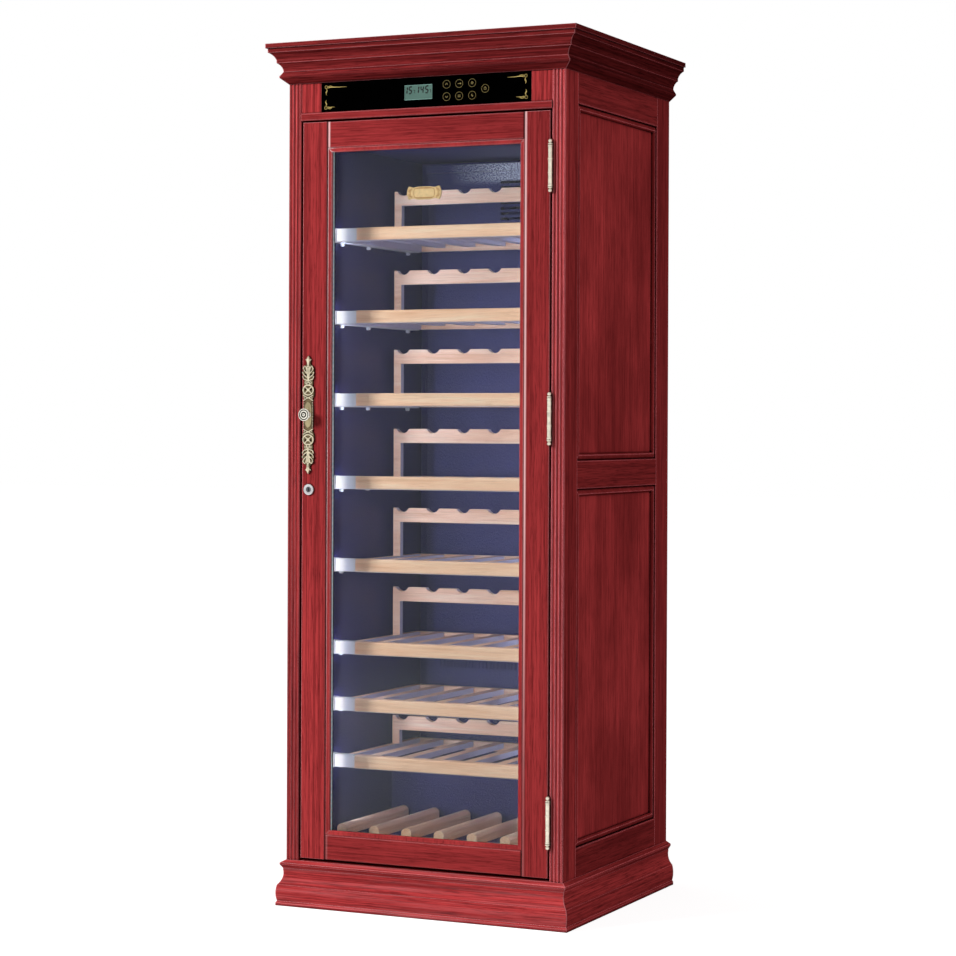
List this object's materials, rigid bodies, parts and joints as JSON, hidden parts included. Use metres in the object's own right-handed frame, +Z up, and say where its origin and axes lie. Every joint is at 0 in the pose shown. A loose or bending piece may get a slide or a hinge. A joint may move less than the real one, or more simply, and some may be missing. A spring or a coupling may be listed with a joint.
{
  "type": "wine cabinet",
  "caption": "Tall wood-framed wine cooling cabinet with a glazed lockable door, moulded cornice and plinth, panelled sides and slatted pull-out shelves for lying bottles.",
  "frame": {"origin": "middle of the bounding box's floor", "axes": "+Z up, -Y out of the door's front, +X to the right as seen from the front"},
  "size_m": [0.727, 0.6384, 1.86],
  "materials": {
    "cherry_wood": "satin cherry stain",
    "side_panel_wood": "satin cherry stain, darker",
    "board_wood": "stained",
    "hardboard": "bare",
    "beech": "clear satin lacquer",
    "panel_glass": "glossy, printed",
    "lcd": "display",
    "circuit": "coated",
    "foam": "foam",
    "liner_blue": "stucco, satin",
    "liner_sheet": "smooth satin",
    "zinc_sheet": "zinc plated",
    "light_diffuser": "milky diffuser",
    "aluminium": "bare",
    "fan_plastic": "matt",
    "white_steel": "white powder coat",
    "compressor_black": "black enamel",
    "black_plastic": "matt",
    "brass": "aged, satin",
    "steel": "brushed",
    "glass": "clear",
    "spacer_silver": "satin anodised",
    "gasket_rubber": "matt",
    "badge_metal": "gilt, gloss"
  },
  "bodies": {
    "cabinet": {"post_left": "cherry_wood", "post_right": "cherry_wood", "rear_stiles": "cherry_wood", "side_rails": "cherry_wood", "side_panels": "side_panel_wood", "side_mouldings": "cherry_wood", "top_board": "cherry_wood", "cornice_front": "cherry_wood", "cornice_sides": "cherry_wood", "plinth_front": "cherry_wood", "plinth_sides": "cherry_wood", "bottom_board": "board_wood", "ledge_rail": "cherry_wood", "fascia_board": "cherry_wood", "control_panel": "panel_glass", "display": "lcd", "control_board": "circuit", "insulation": "foam", "inner_liner": "liner_blue", "rear_panel": "hardboard", "machine_cover": "zinc_sheet", "base_pan": "zinc_sheet", "led_strips": "light_diffuser", "duct_cover": "liner_sheet", "evaporator": "aluminium", "evaporator_fan_frame": "fan_plastic", "shelf_runners": "white_steel", "bottom_rack": "beech", "compressor": "compressor_black", "condenser": "aluminium", "condenser_fan_frame": "fan_plastic", "power_inlet": "black_plastic", "strike_plate": "brass", "hinge_frame_leaves": "brass", "hinge_pins": "brass"},
    "door": {"door_hinge_stile": "cherry_wood", "door_lock_stile": "cherry_wood", "door_rails": "cherry_wood", "door_moulding": "cherry_wood", "door_glass": "glass", "glass_spacer": "spacer_silver", "door_gasket": "gasket_rubber", "glass_badge": "badge_metal", "handle_plate": "brass", "handle_knob": "brass", "lock_case": "steel", "hinge_door_leaves": "brass"},
    "lock_plug_body": {"lock_plug": "steel"},
    "lock_bolt_body": {"lock_bolt": "steel"},
    "evaporator_rotor": {"evaporator_fan": "fan_plastic"},
    "condenser_rotor": {"condenser_fan": "fan_plastic"},
    "pull_out_shelf_1": {"shelf_1": "beech"},
    "pull_out_shelf_2": {"shelf_2": "beech"},
    "pull_out_shelf_3": {"shelf_3": "beech"},
    "pull_out_shelf_4": {"shelf_4": "beech"},
    "pull_out_shelf_5": {"shelf_5": "beech"},
    "pull_out_shelf_6": {"shelf_6": "beech"},
    "pull_out_shelf_7": {"shelf_7": "beech"},
    "pull_out_shelf_8": {"shelf_8": "beech"}
  },
  "joints": [
    {"name": "door_hinge", "type": "hinge", "parent": "cabinet", "child": "door", "pos_m": [0.293, -0.28575, 1.053], "axis": [0, 0, 1], "range_deg": [0, 115]},
    {"name": "lock_turn", "type": "hinge", "parent": "door", "child": "lock_plug_body", "pos_m": [-0.273, -0.28275, 0.89904], "axis": [0, 1, 0], "range_deg": [0, 90]},
    {"name": "bolt_throw", "type": "slide", "parent": "door", "child": "lock_bolt_body", "axis": [-1, 0, 0], "range_m": [0, 0.009]},
    {"name": "evaporator_fan_spin", "type": "hinge", "parent": "cabinet", "child": "evaporator_rotor", "pos_m": [0, 0.23925, 1.549], "axis": [0, 1, 0], "continuous": true},
    {"name": "condenser_fan_spin", "type": "hinge", "parent": "cabinet", "child": "condenser_rotor", "pos_m": [0.15, 0.23925, 0.097], "axis": [0, 1, 0], "continuous": true},
    {"name": "shelf_1_slide", "type": "slide", "parent": "cabinet", "child": "pull_out_shelf_1", "axis": [0, -1, 0], "range_m": [0, 0.045]},
    {"name": "shelf_2_slide", "type": "slide", "parent": "cabinet", "child": "pull_out_shelf_2", "axis": [0, -1, 0], "range_m": [0, 0.045]},
    {"name": "shelf_3_slide", "type": "slide", "parent": "cabinet", "child": "pull_out_shelf_3", "axis": [0, -1, 0], "range_m": [0, 0.045]},
    {"name": "shelf_4_slide", "type": "slide", "parent": "cabinet", "child": "pull_out_shelf_4", "axis": [0, -1, 0], "range_m": [0, 0.045]},
    {"name": "shelf_5_slide", "type": "slide", "parent": "cabinet", "child": "pull_out_shelf_5", "axis": [0, -1, 0], "range_m": [0, 0.045]},
    {"name": "shelf_6_slide", "type": "slide", "parent": "cabinet", "child": "pull_out_shelf_6", "axis": [0, -1, 0], "range_m": [0, 0.045]},
    {"name": "shelf_7_slide", "type": "slide", "parent": "cabinet", "child": "pull_out_shelf_7", "axis": [0, -1, 0], "range_m": [0, 0.045]},
    {"name": "shelf_8_slide", "type": "slide", "parent": "cabinet", "child": "pull_out_shelf_8", "axis": [0, -1, 0], "range_m": [0, 0.045]}
  ],
  "couplings": [
    {"joint": "lock_turn", "follows": "bolt_throw", "rad_per_m": 174.53}
  ]
}
